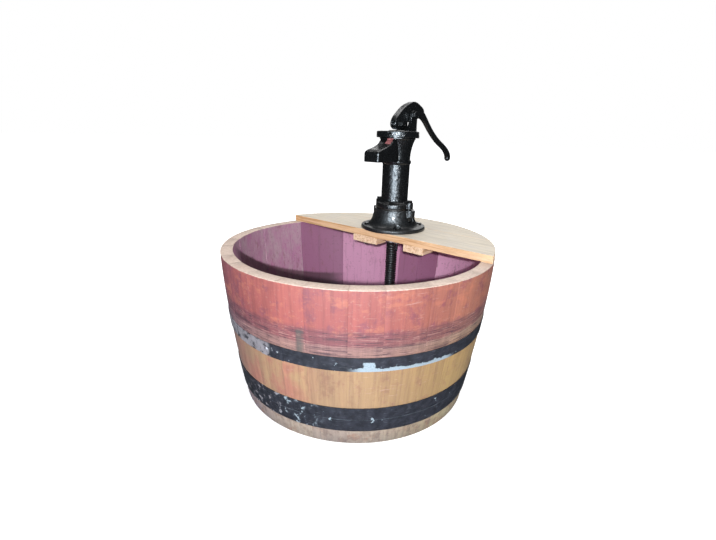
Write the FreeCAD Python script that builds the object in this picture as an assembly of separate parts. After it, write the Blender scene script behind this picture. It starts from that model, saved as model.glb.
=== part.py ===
import FreeCAD, Part
import math
import os

# Hand well pump on a half wine barrel: millimetres, +Z up, origin on the ground under the
# barrel's centre. The spout points to -Y, the handle to +Y, and the lid covers the +Y side.

V = FreeCAD.Vector
ORIGIN = V(0, 0, 0)
Z_AXIS = V(0, 0, 1)
X_AXIS = V(1, 0, 0)

# ---- half barrel ----
BARREL_HEIGHT = 387.0
RIM_RADIUS = 350.0          # outside, at the sawn rim, which was the barrel's bilge
FOOT_RADIUS = 308.0         # outside, at the ground
BULGE_POWER = 1.54          # how the outside curves from rim to foot
STAVE_THICKNESS = 29.0
STAVE_GAP = 0.25
STAVE_WIDTHS = (1.00, 0.78, 1.12, 0.90, 1.22, 0.84, 1.05)
STAVE_REPEATS = 4
CHIME_BEVEL = (9.0, 16.0)   # inside bevel at the foot: radial, vertical
HEAD_BOTTOM = 36.0
HEAD_THICKNESS = 22.0
HEAD_BOARDS = 6
CROZE_DEPTH = 5.0           # groove in the staves that holds the head
CROZE_LOW, CROZE_HIGH = 7.3, 14.4   # groove edges above the head's underside
HOOP_THICKNESS = 1.6
HOOP_CLEARANCE = 0.12
LAP_LENGTH = 62.0           # where a hoop's ends overlap and are riveted
HOOPS = {                   # name: (bottom, width, angle of the lap)
    "upper_hoop": (206.0, 33.0, -81.0),
    "middle_hoop": (74.6, 32.4, 38.0),
    "lower_hoop": (40.5, 33.6, 152.0),
}
RIVET_RADIUS = 2.9
RIVET_HEAD_RADIUS = 6.0
RIVET_HEAD_HEIGHT = 2.4
RIVET_SPACING = 30.0

# ---- lid ----
BOARD_THICKNESS = 19.0
LID_RADIUS = 349.0
LID_FRONT = 78.0            # y of the straight front edge
LID_SEAM = LID_FRONT + 139.5    # y where the two boards meet
BOARD_GAP = 0.4
CLEATS = {"cleat_left": (-41.0, 86.0), "cleat_right": (124.0, 62.0)}    # centre x, width
CLEAT_LENGTH = 192.0
CLEAT_SCREW_INSET = 13.0
CLEAT_SCREW_Y = (24.0, 118.0, 172.0)
WOOD_SCREW_HEAD, WOOD_SCREW_SHANK = 4.5, 2.1    # radii
PIPE_HOLE_RADIUS = 24.0     # through the boards
CLAMP_HOLE_RADIUS = 34.0    # through the cleat, wide enough for the hose clamp
FLANGE_HOLE_RADIUS = 4.3
LID_TOP = BARREL_HEIGHT + BOARD_THICKNESS

# ---- pump, measured from its own axis and from the lid's top face ----
PUMP_Y = 157.0
FLANGE_RADIUS = 92.5
FLANGE_HEIGHT = 10.0
FLANGE_BOLT_RADIUS = 77.0
FLANGE_BOLT_ANGLES = (45.0, 135.0, 225.0, 315.0)
FLANGE_BOLT_LENGTH = 58.0
FLANGE_SLOT = (5.0, 6.0)    # half width, half of the bolt's travel along it
FLANGE_WASHER = 1.6
FLANGE_NUT = 6.5
JOINT_NUT = 8.0
BASE_TOP = 58.0
LEATHER = 3.0
BORE_RADIUS = 31.75         # a 2 1/2 inch bore
CYLINDER_RADIUS = 38.0
JOINT_FACE = BASE_TOP + LEATHER
LUG_BOLT_X = 52.0
LUG_HOLE_RADIUS = 5.3
LOWER_LUG = (55.0, 15.0, 38.0, BASE_TOP)          # centre x, half width, bottom, top
UPPER_LUG = (LUG_BOLT_X, 11.0, JOINT_FACE, 79.0)
NUT_POCKET_RADIUS, NUT_POCKET_FLOOR = 11.0, 24.0
WATERWAY = (27.0, 36.0)     # outside of the base's inner tube, inside of its bell
BEAD_Z = 187.0              # raised ring round the cylinder
SPOUT_HALF = 25.0
SPOUT_TIP = 115.0           # how far the spout reaches from the pump's axis
SPOUT_UNDERSIDE = 188.5
SPOUT_WALL = 5.0
SPOUT_ROUNDING = 6.0
SPOUT_FLOOR_END = 62.0      # the underside is open from here to the tip
SPOUT_ROOF = ((20, 249), (36, 248.5), (46, 246), (52, 241), (58.5, 235), (68, 230), (81, 225.5),
              (96, 221.5), (106, 218.5), (112.5, 214.5), (SPOUT_TIP, 207))   # reach and height
CUP_TOP = 256.0
CUP_RADIUS = 49.0
CAP_RADIUS = 58.0
CAP_BOTTOM, CAP_SEAT, CAP_TOP = 250.5, 256.2, 267.0
CAP_SLOT = (9.0, 18.0)      # half width, half length of the opening for the rod
SET_SCREW_ANGLES = (60.0, 180.0, 300.0)
EAR_INNER, EAR_OUTER = 11.0, 20.0
EAR_TOP_RADIUS = 13.0
EAR_WEB = 13.0              # how far each ear's foot reaches forward
PIVOT = V(0, 48, 310)       # handle pivot
ROD_PIN = V(0, 3.2, 285)    # where the handle lifts the rod
PIVOT_BOLT_RADIUS = 5.0
ROD_PIN_RADIUS = 4.0
ROD_PIN_TRAVEL = 3.8        # sideways play of the pin in the rod's slotted eye
HANDLE_HALF = 10.0          # half thickness of the handle's head
HANDLE_SLOT = 5.2           # half width of the slot for the rod's eye
ROD_RADIUS = 5.45
EYE_HALF = 4.5
PLUNGER_BOTTOM = 100.0      # at rest, with the plunger at the foot of its stroke
GASKET_OUTER, GASKET_INNER = 46.0, 24.6
FLAP_RADIUS = 23.5
FLAP_WEIGHT_TOP = 69.5
FLAP_WASHER = 1.6
FLAP_SCREW_RADIUS = 3.0
FLAP_HINGE_Y = 21.0         # the flap's straight edge is rounded about this line
FLAP_HINGE_HALF = 9.0

# ---- suction hose ----
HOSE_RADIUS = 17.0
HOSE_BORE = 12.5
HOSE_NARROW_BORE = 11.6     # inside the corrugated length
HOSE_TOP, HOSE_BOTTOM = -4.0, -286.0
CUFF_LENGTH = 44.0
CORRUGATION_PITCH = 7.0
CORRUGATION_DEPTH = 2.2
CLAMP_LOW, CLAMP_HIGH = -41.0, -29.0
CLAMP_SCREW = V(0, HOSE_RADIUS + 5.5, -35)

RUNNING = 0.08              # radial clearance of a turning pin
THREAD = 0.05               # radial clearance of a screwed joint

AT_PUMP = V(0, PUMP_Y, LID_TOP)


# ---------------------------------------------------------------- shape helpers
def line(*points):
    """Straight edges through (r, z) points of the XZ half-plane."""
    ends = [V(r, 0, z) for r, z in points]
    return [Part.makeLine(a, b) for a, b in zip(ends, ends[1:])]


def curve(*points):
    """One smooth edge through (r, z) points of the XZ half-plane."""
    spline = Part.BSplineCurve()
    spline.interpolate([V(r, 0, z) for r, z in points])
    return [spline.toShape()]


def turned(*runs, angle=360.0):
    """Solid of revolution about Z. Runs of edges are joined up with straight lines."""
    edges = []
    for run in runs:
        if edges and not same_place(edges[-1].lastVertex(), run[0].firstVertex()):
            edges.append(Part.makeLine(edges[-1].lastVertex().Point, run[0].firstVertex().Point))
        edges += run
    if not same_place(edges[-1].lastVertex(), edges[0].firstVertex()):
        edges.append(Part.makeLine(edges[-1].lastVertex().Point, edges[0].firstVertex().Point))
    return Part.Face(Part.Wire(edges)).revolve(ORIGIN, Z_AXIS, angle)


def same_place(vertex_a, vertex_b):
    return vertex_a.Point.distanceToPoint(vertex_b.Point) < 1e-6


def disc(radius, bottom, top, x=0.0, y=0.0):
    return Part.makeCylinder(radius, top - bottom, V(x, y, bottom))


def ring(outer, inner, bottom, top):
    return disc(outer, bottom, top).cut(disc(inner, bottom - 1, top + 1))


def block(x0, x1, y0, y1, z0, z1):
    return Part.makeBox(x1 - x0, y1 - y0, z1 - z0, V(x0, y0, z0))


def rod_x(radius, x0, x1, y, z):
    """A cylinder along X."""
    return Part.makeCylinder(radius, x1 - x0, V(x0, y, z), X_AXIS)


def hexagon(across_flats, bottom, top, x=0.0, y=0.0):
    """A hexagonal prism along Z with its corners turned down."""
    corner = across_flats / math.sqrt(3)
    points = [V(x + corner * math.cos(math.radians(60 * i)),
                y + corner * math.sin(math.radians(60 * i)), bottom) for i in range(7)]
    prism = Part.Face(Part.makePolygon(points)).extrude(V(0, 0, top - bottom))
    drop = 0.12 * across_flats
    crown = turned(line((0, bottom), (corner + drop, bottom), (corner + drop, top - drop),
                        (corner - drop, top), (0, top)))
    return prism.common(crown.translated(V(x, y, 0)))


def bolt(radius, across_flats, head_height, length):
    """A hex bolt hanging down from the seat of its head at z = 0."""
    return hexagon(across_flats, 0, head_height).fuse(disc(radius, -length, 0)).removeSplitter()


def nut(radius, across_flats, height):
    """A hex nut standing on z = 0."""
    return hexagon(across_flats, 0, height).cut(disc(radius + THREAD, -1, height + 1))


def along_x(shape, point, flip=False):
    """Turn a shape built along +Z to lie along +X (or -X) and move it to a point."""
    turned_shape = shape.copy()
    turned_shape.rotate(ORIGIN, V(0, 1, 0), -90 if flip else 90)
    return turned_shape.translated(point)


def outline_yz(points, half_width, smooth=False):
    """Extrude a closed (y, z) outline to +-half_width along X."""
    corners = [V(-half_width, y, z) for y, z in points]
    if smooth:
        spline = Part.BSplineCurve()
        spline.interpolate(Points=corners, PeriodicFlag=True)
        wire = Part.Wire(spline.toShape())
    else:
        wire = Part.makePolygon(corners + corners[:1])
    return Part.Face(wire).extrude(V(2 * half_width, 0, 0))


def obround(half_length, half_width, x0, x1, y, z):
    """A plate in YZ with round ends along Y, from x0 to x1."""
    straight = block(x0, x1, y - half_length + half_width, y + half_length - half_width,
                     z - half_width, z + half_width)
    ends = [rod_x(half_width, x0, x1, y + side * (half_length - half_width), z) for side in (-1, 1)]
    return straight.multiFuse(ends).removeSplitter()


def fused(first, *others):
    return first.multiFuse(list(others)).removeSplitter()


def cut_all(shape, tools):
    return shape.cut(Part.makeCompound(list(tools)))


def save(name, *solids):
    """Write one node; pieces of a group stay separate solids."""
    flat = [solid for shape in solids for solid in shape.Solids]
    node = flat[0] if len(flat) == 1 else Part.makeCompound(flat)
    node.exportStep(f"parts/{name}.step")


# ---------------------------------------------------------------- half barrel
def barrel_radius(z):
    """Outside radius of the staves at height z."""
    taper = (BARREL_HEIGHT - z) / BARREL_HEIGHT
    return RIM_RADIUS - (RIM_RADIUS - FOOT_RADIUS) * taper ** BULGE_POWER


def barrel_curve(bottom, top, offset, steps=8):
    """The staves' curved line from bottom to top, moved outwards by offset."""
    heights = [bottom + (top - bottom) * i / steps for i in range(steps + 1)]
    return curve(*[(barrel_radius(z) + offset, z) for z in heights])


def inner_radius(z):
    return barrel_radius(z) - STAVE_THICKNESS


def staves():
    low, high = HEAD_BOTTOM + CROZE_LOW, HEAD_BOTTOM + CROZE_HIGH
    bevel_r, bevel_z = CHIME_BEVEL
    widths = STAVE_WIDTHS * STAVE_REPEATS
    start = 0.0
    gap = math.degrees(STAVE_GAP / RIM_RADIUS)
    for width in widths:
        sweep = 360.0 * width / sum(widths)
        stave = turned(
            barrel_curve(0, BARREL_HEIGHT, 0),
            barrel_curve(BARREL_HEIGHT, high, -STAVE_THICKNESS),
            line((inner_radius(high) + CROZE_DEPTH, high), (inner_radius(low) + CROZE_DEPTH, low),
                 (inner_radius(low), low), (inner_radius(bevel_z), bevel_z),
                 (inner_radius(0) + bevel_r, 0)),
            angle=sweep - gap)
        stave.rotate(ORIGIN, Z_AXIS, start)
        start += sweep
        yield stave


def head_boards():
    """The barrel's flat head, in boards along X, with a thinned edge that sits in the groove."""
    low, high = HEAD_BOTTOM + CROZE_LOW + 0.2, HEAD_BOTTOM + CROZE_HIGH - 0.2
    top = HEAD_BOTTOM + HEAD_THICKNESS
    edge = inner_radius(low) + CROZE_DEPTH - 1.0
    disc_shape = turned(line((0, HEAD_BOTTOM), (edge - 20, HEAD_BOTTOM), (edge - 5, low),
                             (edge, low), (edge, high), (edge - 5, high), (edge - 14, top), (0, top)))
    width = 2 * edge / HEAD_BOARDS
    for i in range(HEAD_BOARDS):
        y0 = -edge + i * width
        yield disc_shape.common(block(-edge, edge, y0 + BOARD_GAP / 2, y0 + width - BOARD_GAP / 2,
                                      HEAD_BOTTOM - 1, top + 1))


def barrel_slope(z):
    """Degrees that the staves' outside leans out at height z."""
    taper = (BARREL_HEIGHT - z) / BARREL_HEIGHT
    rise = (RIM_RADIUS - FOOT_RADIUS) * BULGE_POWER / BARREL_HEIGHT * taper ** (BULGE_POWER - 1)
    return math.degrees(math.atan(rise))


def on_hoop(shape, name):
    """Copies of a shape built along +Z, seated square on a hoop at the two rivets of its lap."""
    bottom, width, lap = HOOPS[name]
    middle = bottom + width / 2
    seat = barrel_radius(middle) + HOOP_CLEARANCE + 2 * HOOP_THICKNESS
    for side in (-1, 1):
        moved = shape.copy()
        moved.rotate(ORIGIN, V(0, 1, 0), 90 + barrel_slope(middle))
        moved.translate(V(seat, 0, middle))
        moved.rotate(ORIGIN, Z_AXIS, lap + side * math.degrees(RIVET_SPACING / 2 / seat))
        yield moved


def hoop(name):
    """A flat steel strip bent round the staves, its ends lapped one over the other."""
    bottom, width, lap = HOOPS[name]
    top = bottom + width
    inner = HOOP_CLEARANCE
    outer = inner + HOOP_THICKNESS
    band = turned(barrel_curve(bottom, top, inner, 4), barrel_curve(top, bottom, outer, 4))
    sweep = math.degrees(LAP_LENGTH / barrel_radius(bottom))
    doubled = turned(barrel_curve(bottom, top, inner, 4),
                     barrel_curve(top, bottom, outer + HOOP_THICKNESS, 4), angle=sweep)
    doubled.rotate(ORIGIN, Z_AXIS, lap - sweep / 2)
    return cut_all(fused(band, doubled), on_hoop(disc(RIVET_RADIUS + THREAD, -8, 4), name))


def hoop_rivets():
    dome = turned(line((0, 0), (RIVET_HEAD_RADIUS, 0)),
                  curve((RIVET_HEAD_RADIUS, 0), (0.83 * RIVET_HEAD_RADIUS, 0.54 * RIVET_HEAD_HEIGHT),
                        (0.5 * RIVET_HEAD_RADIUS, 0.88 * RIVET_HEAD_HEIGHT), (0, RIVET_HEAD_HEIGHT)))
    rivet = fused(dome, disc(RIVET_RADIUS, -2 * HOOP_THICKNESS + 0.3, 0.1))
    for name in HOOPS:
        yield from on_hoop(rivet, name)


# ---------------------------------------------------------------- lid
def cleat_screw_places():
    for centre, width in CLEATS.values():
        for side in (-1, 1):
            for along in CLEAT_SCREW_Y:
                yield V(centre + side * (width / 2 - CLEAT_SCREW_INSET), LID_FRONT + along,
                        BARREL_HEIGHT)


def wood_screw(clearance=0.0):
    """A countersunk screw driven up from the cleat's underside; z = 0 is the cleat's top face."""
    head = WOOD_SCREW_HEAD + clearance
    shank = WOOD_SCREW_SHANK + clearance
    low = -BOARD_THICKNESS
    return turned(line((0, low), (head, low), (shank, low + 3.2), (shank, 10), (0, 14 + clearance)))


def flange_bolt_places():
    for angle in FLANGE_BOLT_ANGLES:
        yield V(FLANGE_BOLT_RADIUS * math.cos(math.radians(angle)),
                FLANGE_BOLT_RADIUS * math.sin(math.radians(angle)), 0)


def wood_holes():
    """Everything that passes through the lid and its cleats."""
    low = BARREL_HEIGHT - BOARD_THICKNESS - 1
    yield from (wood_screw(THREAD).translated(place) for place in cleat_screw_places())
    yield disc(PIPE_HOLE_RADIUS, BARREL_HEIGHT - 1, LID_TOP + 1, 0, PUMP_Y)
    yield disc(CLAMP_HOLE_RADIUS, low, BARREL_HEIGHT, 0, PUMP_Y)
    for place in flange_bolt_places():
        yield disc(FLANGE_HOLE_RADIUS, low, LID_TOP + 1, place.x, PUMP_Y + place.y)


def lid_board(front, back):
    board = disc(LID_RADIUS, BARREL_HEIGHT, LID_TOP)
    strip = block(-LID_RADIUS, LID_RADIUS, front, back, BARREL_HEIGHT - 1, LID_TOP + 1)
    return cut_all(board.common(strip), wood_holes())


def cleat(centre, width):
    bar = block(centre - width / 2, centre + width / 2, LID_FRONT, LID_FRONT + CLEAT_LENGTH,
                BARREL_HEIGHT - BOARD_THICKNESS, BARREL_HEIGHT)
    return cut_all(bar, wood_holes())


# ---------------------------------------------------------------- pump castings
def lug(centre, half_width, bottom, top, side):
    pad = block(30, centre, -half_width, half_width, bottom, top)
    shape = fused(pad, disc(half_width, bottom, top, centre))
    return shape if side > 0 else shape.mirror(ORIGIN, X_AXIS)


def flange_slot(angle):
    """A slot along the bolt circle, so the base can be turned a little before it is tightened."""
    half_width, half_travel = FLANGE_SLOT
    slot = fused(block(FLANGE_BOLT_RADIUS - half_width, FLANGE_BOLT_RADIUS + half_width,
                       -half_travel, half_travel, -1, 20),
                 disc(half_width, -1, 20, FLANGE_BOLT_RADIUS, half_travel),
                 disc(half_width, -1, 20, FLANGE_BOLT_RADIUS, -half_travel))
    spot_face = disc(12, FLANGE_HEIGHT, 30, FLANGE_BOLT_RADIUS)
    shape = fused(slot, spot_face)
    shape.rotate(ORIGIN, Z_AXIS, angle)
    return shape


def pump_base():
    """A hollow bell with a bolting flange and a tube down its middle for the hose tail."""
    tube, bell_inside = WATERWAY
    roof = 45.0
    bell = turned(
        line((20, 8), (tube, 8), (tube, roof), (bell_inside, roof), (bell_inside, 25), (45, 17),
             (60, 0), (FLANGE_RADIUS - 1, 0), (FLANGE_RADIUS, 1.5), (FLANGE_RADIUS, 7.5),
             (FLANGE_RADIUS - 2.5, FLANGE_HEIGHT), (79, FLANGE_HEIGHT + 1)),
        curve((79, FLANGE_HEIGHT + 1), (69.5, 16), (62.5, 27), (59, 40), (57, 52)),
        line((57, 52), (57, BASE_TOP - 1.5), (55.5, BASE_TOP), (17, BASE_TOP), (17, 42), (20, 40)))
    lugs = [lug(*LOWER_LUG, side) for side in (-1, 1)]
    holes = []
    for side in (-1, 1):
        pocket = nut_pocket() if side > 0 else nut_pocket().mirror(ORIGIN, X_AXIS)
        holes += [pocket, disc(LUG_HOLE_RADIUS, NUT_POCKET_FLOOR, BASE_TOP + 1, side * LUG_BOLT_X)]
    slots = [flange_slot(angle) for angle in FLANGE_BOLT_ANGLES]
    waterway = ring(bell_inside, tube, NUT_POCKET_FLOOR, roof)
    return cut_all(fused(bell, *lugs), holes + slots + [waterway])


def nut_pocket():
    """Room for a joint nut under its lug, open towards the outside."""
    outwards = block(LUG_BOLT_X, LUG_BOLT_X + 30, -NUT_POCKET_RADIUS, NUT_POCKET_RADIUS,
                     NUT_POCKET_FLOOR, LOWER_LUG[2])
    return fused(outwards, disc(NUT_POCKET_RADIUS, NUT_POCKET_FLOOR, LOWER_LUG[2], LUG_BOLT_X))


def spout_form(inset, underside):
    """The spout's solid form between its flat sides; an inset gives the form of its inside."""
    half = SPOUT_HALF - inset
    stretch = (SPOUT_TIP - inset) / SPOUT_TIP
    roof = [V(half, -reach * stretch, height - inset) for reach, height in SPOUT_ROOF]
    spline = Part.BSplineCurve()
    spline.interpolate(roof)
    tip = V(half, roof[-1].y, underside)
    root = V(half, roof[0].y, underside)
    edges = [spline.toShape(), Part.makeLine(roof[-1], tip), Part.makeLine(tip, root),
             Part.makeLine(root, roof[0])]
    return Part.Face(Part.Wire(edges)).extrude(V(-2 * half, 0, 0))


def spout():
    """A hood with rounded shoulders along its roof and down both corners of its tip."""
    form = spout_form(0.0, SPOUT_UNDERSIDE)
    half_reach = -SPOUT_TIP / 2
    on_sides = [edge for edge in form.Edges if edge.BoundBox.XLength < 0.1]
    roof_edges = [edge for edge in on_sides if edge.BoundBox.ZMax > CYLINDER_RADIUS + SPOUT_UNDERSIDE]
    tip_edges = [edge for edge in on_sides if edge.BoundBox.YMax < half_reach]
    shoulders = [edge for edge in roof_edges if edge.BoundBox.YMin < half_reach] + tip_edges
    return form.makeFillet(SPOUT_ROUNDING, shoulders)


def spout_inside():
    """The passage from the cup, and the open underside beyond the floor."""
    passage = spout_form(SPOUT_WALL, SPOUT_UNDERSIDE + SPOUT_WALL)
    inner_tip = -SPOUT_TIP + SPOUT_WALL
    inner_half = SPOUT_HALF - SPOUT_WALL
    mouth = block(-inner_half, inner_half, inner_tip, -SPOUT_FLOOR_END, SPOUT_UNDERSIDE - 5,
                  SPOUT_UNDERSIDE + SPOUT_WALL)
    return fused(passage, mouth)


def pump_body():
    """Cylinder, cup and spout: one casting."""
    flare_foot = BEAD_Z + 6
    outside = turned(
        line((0, JOINT_FACE), (51, JOINT_FACE), (52, JOINT_FACE + 1), (52, 71)),
        curve((52, 71), (50, 74), (44, 76), (40, 79.5), (CYLINDER_RADIUS, 85)),
        line((CYLINDER_RADIUS, 85), (CYLINDER_RADIUS, BEAD_Z - 6)),
        curve((CYLINDER_RADIUS, BEAD_Z - 6), (40.2, BEAD_Z - 3.5), (41, BEAD_Z), (40.2, BEAD_Z + 3.5),
              (37.8, flare_foot)),
        curve((37.8, flare_foot), (38.2, 208), (40.5, 223), (44, 236), (47, 245)),
        line((47, 245), (CUP_RADIUS, 247), (CUP_RADIUS, CUP_TOP), (0, CUP_TOP)))
    inside = turned(
        line((0, JOINT_FACE - 1), (BORE_RADIUS, JOINT_FACE - 1), (BORE_RADIUS, 198)),
        curve((BORE_RADIUS, 198), (32.5, 212), (35.5, 227), (39.5, 239), (42.5, 249)),
        line((42.5, 249), (42.5, CUP_TOP + 1), (0, CUP_TOP + 1)))
    lugs = [lug(*UPPER_LUG, side) for side in (-1, 1)]
    holes = [disc(LUG_HOLE_RADIUS, 50, 90, side * LUG_BOLT_X) for side in (-1, 1)]
    body = fused(outside, spout(), *lugs)
    return cut_all(body, [inside, spout_inside()] + holes)


def ear_outline():
    """One fork ear: broad at the cap, round at the top."""
    front, back = PIVOT.y - EAR_TOP_RADIUS, PIVOT.y + EAR_TOP_RADIUS
    ear = outline_yz([(front - EAR_WEB, CAP_TOP - 2), (back + 2, CAP_TOP - 2), (back + 1, CAP_TOP + 6),
                      (back, CAP_TOP + 20), (back, PIVOT.z), (front, PIVOT.z),
                      (front - 3, CAP_TOP + 28), (front - EAR_WEB, CAP_TOP + 4)], EAR_OUTER)
    return fused(ear, rod_x(EAR_TOP_RADIUS, -EAR_OUTER, EAR_OUTER, PIVOT.y, PIVOT.z))


def set_screw_bore(angle, radius, start, end):
    bore = Part.makeCylinder(radius, end - start, V(start, 0, CAP_BOTTOM + 3.0), X_AXIS)
    bore.rotate(ORIGIN, Z_AXIS, angle)
    return bore


def pump_cap():
    """The revolving cap that carries the handle."""
    plate = turned(
        line((0, CAP_SEAT), (CUP_RADIUS + 0.6, CAP_SEAT), (CUP_RADIUS + 0.6, CAP_BOTTOM),
             (CAP_RADIUS - 1, CAP_BOTTOM), (CAP_RADIUS, CAP_BOTTOM + 1), (CAP_RADIUS, CAP_TOP - 3)),
        curve((CAP_RADIUS, CAP_TOP - 3), (CAP_RADIUS - 1, CAP_TOP - 0.8), (CAP_RADIUS - 3.5, CAP_TOP)),
        line((CAP_RADIUS - 3.5, CAP_TOP), (27, CAP_TOP), (25, CAP_TOP + 2.5), (0, CAP_TOP + 2.5)))
    gap = block(-EAR_INNER, EAR_INNER, 18, 75, CAP_TOP, 340)
    half_width, half_length = CAP_SLOT
    low, high = CAP_SEAT - 1, CAP_TOP + 5
    slot = fused(block(-half_width, half_width, half_width - half_length,
                       half_length - half_width, low, high),
                 disc(half_width, low, high, 0, half_length - half_width),
                 disc(half_width, low, high, 0, half_width - half_length))
    pivot_bore = rod_x(PIVOT_BOLT_RADIUS + THREAD, -30, 30, PIVOT.y, PIVOT.z)
    bores = [set_screw_bore(angle, 3.05, 45, 62) for angle in SET_SCREW_ANGLES]
    body = fused(plate, ear_outline().cut(gap))
    return cut_all(body, [slot, pivot_bore] + bores)


def cap_set_screws():
    """Square-headed screws that lock the cap to the cup's rim."""
    for angle in SET_SCREW_ANGLES:
        shank = set_screw_bore(angle, 3.0, CUP_RADIUS + 0.2, CAP_RADIUS + 1)
        head = block(CAP_RADIUS + 0.6, CAP_RADIUS + 6, -3.6, 3.6, CAP_BOTTOM - 0.6, CAP_BOTTOM + 6.6)
        head.rotate(ORIGIN, Z_AXIS, angle)
        yield fused(shank, head)


# ---------------------------------------------------------------- handle and rod
HEAD_OUTLINE = (            # (y, z), closed, from the nose over the top and back underneath
    (-27, 287), (-20, 302), (-5, 315), (12, 328), (36, 339.5), (63, 346), (92, 338), (112, 323),
    (107, 309), (86, 303), (60, 296), (32, 290), (14, 279), (-3, 272), (-18, 273),
)
ARM_SECTIONS = (            # centre y, centre z, height, width, direction in degrees
    (90, 321.5, 34, 20, -22), (110, 314, 25, 19.5, -33), (127, 304, 19.5, 18, -38),
    (148, 287, 18, 16.5, -38), (172, 268.5, 17.5, 16, -36), (201, 250, 17.5, 16, -30),
    (229, 236, 17.5, 16, -25), (256, 224, 18, 16.5, -27), (275, 212, 19.5, 18, -42),
    (286, 200, 20, 19, -62), (288.5, 191, 19.8, 19, -82),
)
ARM_END_RADIUS = 9.7


def arm_section(y, z, height, width, direction):
    """An oval wire across the arm, square to its direction."""
    oval = Part.Wire(Part.Ellipse(ORIGIN, max(height, width) / 2, min(height, width) / 2).toShape())
    if height >= width:
        oval.rotate(ORIGIN, Z_AXIS, 90)
    oval.rotate(ORIGIN, X_AXIS, 90)          # now in the XZ plane, facing along Y
    oval.rotate(ORIGIN, X_AXIS, direction)
    return oval.translated(V(0, y, z))


def handle():
    head = outline_yz(HEAD_OUTLINE, HANDLE_HALF, smooth=True)
    head = head.makeFillet(3.5, [e for e in head.Edges if e.BoundBox.XLength < 1 and e.Length > 100])
    loft = Part.makeLoft([arm_section(*section) for section in ARM_SECTIONS], True, False)
    arm = loft.common(block(-HANDLE_HALF, HANDLE_HALF, 60, 320, 150, 360))
    last_y, last_z = ARM_SECTIONS[-1][:2]
    end = Part.makeSphere(ARM_END_RADIUS, V(0, last_y, last_z))
    slot = outline_yz([(-60, 250), (22, 250), (22, 302), (-4, 303), (-18, 291), (-60, 291)],
                      HANDLE_SLOT)
    bores = [rod_x(PIVOT_BOLT_RADIUS + RUNNING, -20, 20, PIVOT.y, PIVOT.z),
             rod_x(ROD_PIN_RADIUS + THREAD, -20, 20, ROD_PIN.y, ROD_PIN.z)]
    return cut_all(fused(head, arm, end), [slot] + bores)


def piston_rod():
    """A round rod, flattened at the top into a slotted eye."""
    eye_height = 9.6
    eye = obround(ROD_PIN_TRAVEL + eye_height, eye_height, -EYE_HALF, EYE_HALF, 0, ROD_PIN.z)
    neck = block(-EYE_HALF, EYE_HALF, -ROD_RADIUS, ROD_RADIUS, 264, ROD_PIN.z)
    stem = disc(ROD_RADIUS, PLUNGER_BOTTOM + 36, 266)
    slot = obround(ROD_PIN_TRAVEL + ROD_PIN_RADIUS + 0.8, ROD_PIN_RADIUS + 0.8, -10, 10, 0, ROD_PIN.z)
    return fused(eye, neck, stem).cut(slot)


# ---------------------------------------------------------------- valves and plunger
def valve_gasket():
    """The leather ring between base and cylinder."""
    return ring(GASKET_OUTER, GASKET_INNER, BASE_TOP, JOINT_FACE)


def valve_flap():
    """The leather's tongue, with a straight and rounded edge on its hinged side."""
    tongue = disc(FLAP_RADIUS, BASE_TOP, JOINT_FACE).cut(
        block(-30, 30, FLAP_HINGE_Y, 40, BASE_TOP - 1, JOINT_FACE + 1))
    bend = rod_x(LEATHER / 2, -FLAP_HINGE_HALF, FLAP_HINGE_HALF, FLAP_HINGE_Y,
                 BASE_TOP + LEATHER / 2)
    return fused(tongue, bend).cut(disc(FLAP_SCREW_RADIUS + RUNNING, BASE_TOP - 1, JOINT_FACE + 1))


def flap_weight():
    bore = FLAP_SCREW_RADIUS + RUNNING
    return turned(line((bore, JOINT_FACE), (16, JOINT_FACE), (16, 66), (13, FLAP_WEIGHT_TOP),
                       (bore, FLAP_WEIGHT_TOP)))


def flap_screw():
    """Pushed up through washer, leather and weight."""
    grip = FLAP_WASHER + FLAP_WEIGHT_TOP - BASE_TOP
    screw = bolt(FLAP_SCREW_RADIUS, 10, 4, grip + 4.4)
    return screw.mirror(ORIGIN, Z_AXIS).translated(V(0, 0, BASE_TOP - FLAP_WASHER))


def plunger_cage():
    z = PLUNGER_BOTTOM
    seat = turned(line((17.1, z + 9), (28.3, z + 9), (28.3, z + 19), (27, z + 22),
                       (19.5, z + 22), (19.5, z + 19), (17.1, z + 19)))
    spokes = []
    for angle in (30, 150, 270):
        spoke = fused(block(0, 27, -4.5, 4.5, z + 34, z + 40), block(20.5, 27, -4.5, 4.5, z + 20, z + 40))
        spoke.rotate(ORIGIN, Z_AXIS, angle)
        spokes.append(spoke)
    return fused(seat, disc(10, z + 34, z + 50), *spokes).cut(disc(ROD_RADIUS + THREAD, z, z + 60))


def plunger_follower():
    """The screwed ring that clamps the cup leather; its top is the valve's seat."""
    z = PLUNGER_BOTTOM
    return turned(line((12.5, z), (26, z), (27.5, z + 1.5), (27.5, z + 6), (17, z + 6),
                       (17, z + 19), (12.5, z + 19)))


def cup_leather():
    z = PLUNGER_BOTTOM
    return turned(line((17.1, z + 6), (30, z + 6)),
                  curve((30, z + 6), (31.2, z + 6.8), (31.6, z + 9)),
                  line((31.6, z + 9), (31.6, z + 22), (30.2, z + 22), (28.6, z + 12),
                       (28.6, z + 9), (17.1, z + 9)))


def plunger_valve():
    z = PLUNGER_BOTTOM
    disc_top = turned(line((0, z + 19), (16.5, z + 19), (16.5, z + 21.5), (14, z + 23), (4, z + 23),
                           (3, z + 26), (0, z + 26)))
    wings = []
    for angle in (0, 60, 120):
        wing = block(-12, 12, -1.2, 1.2, z + 6, z + 19)
        wing.rotate(ORIGIN, Z_AXIS, angle)
        wings.append(wing)
    return fused(disc_top, *wings)


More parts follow.
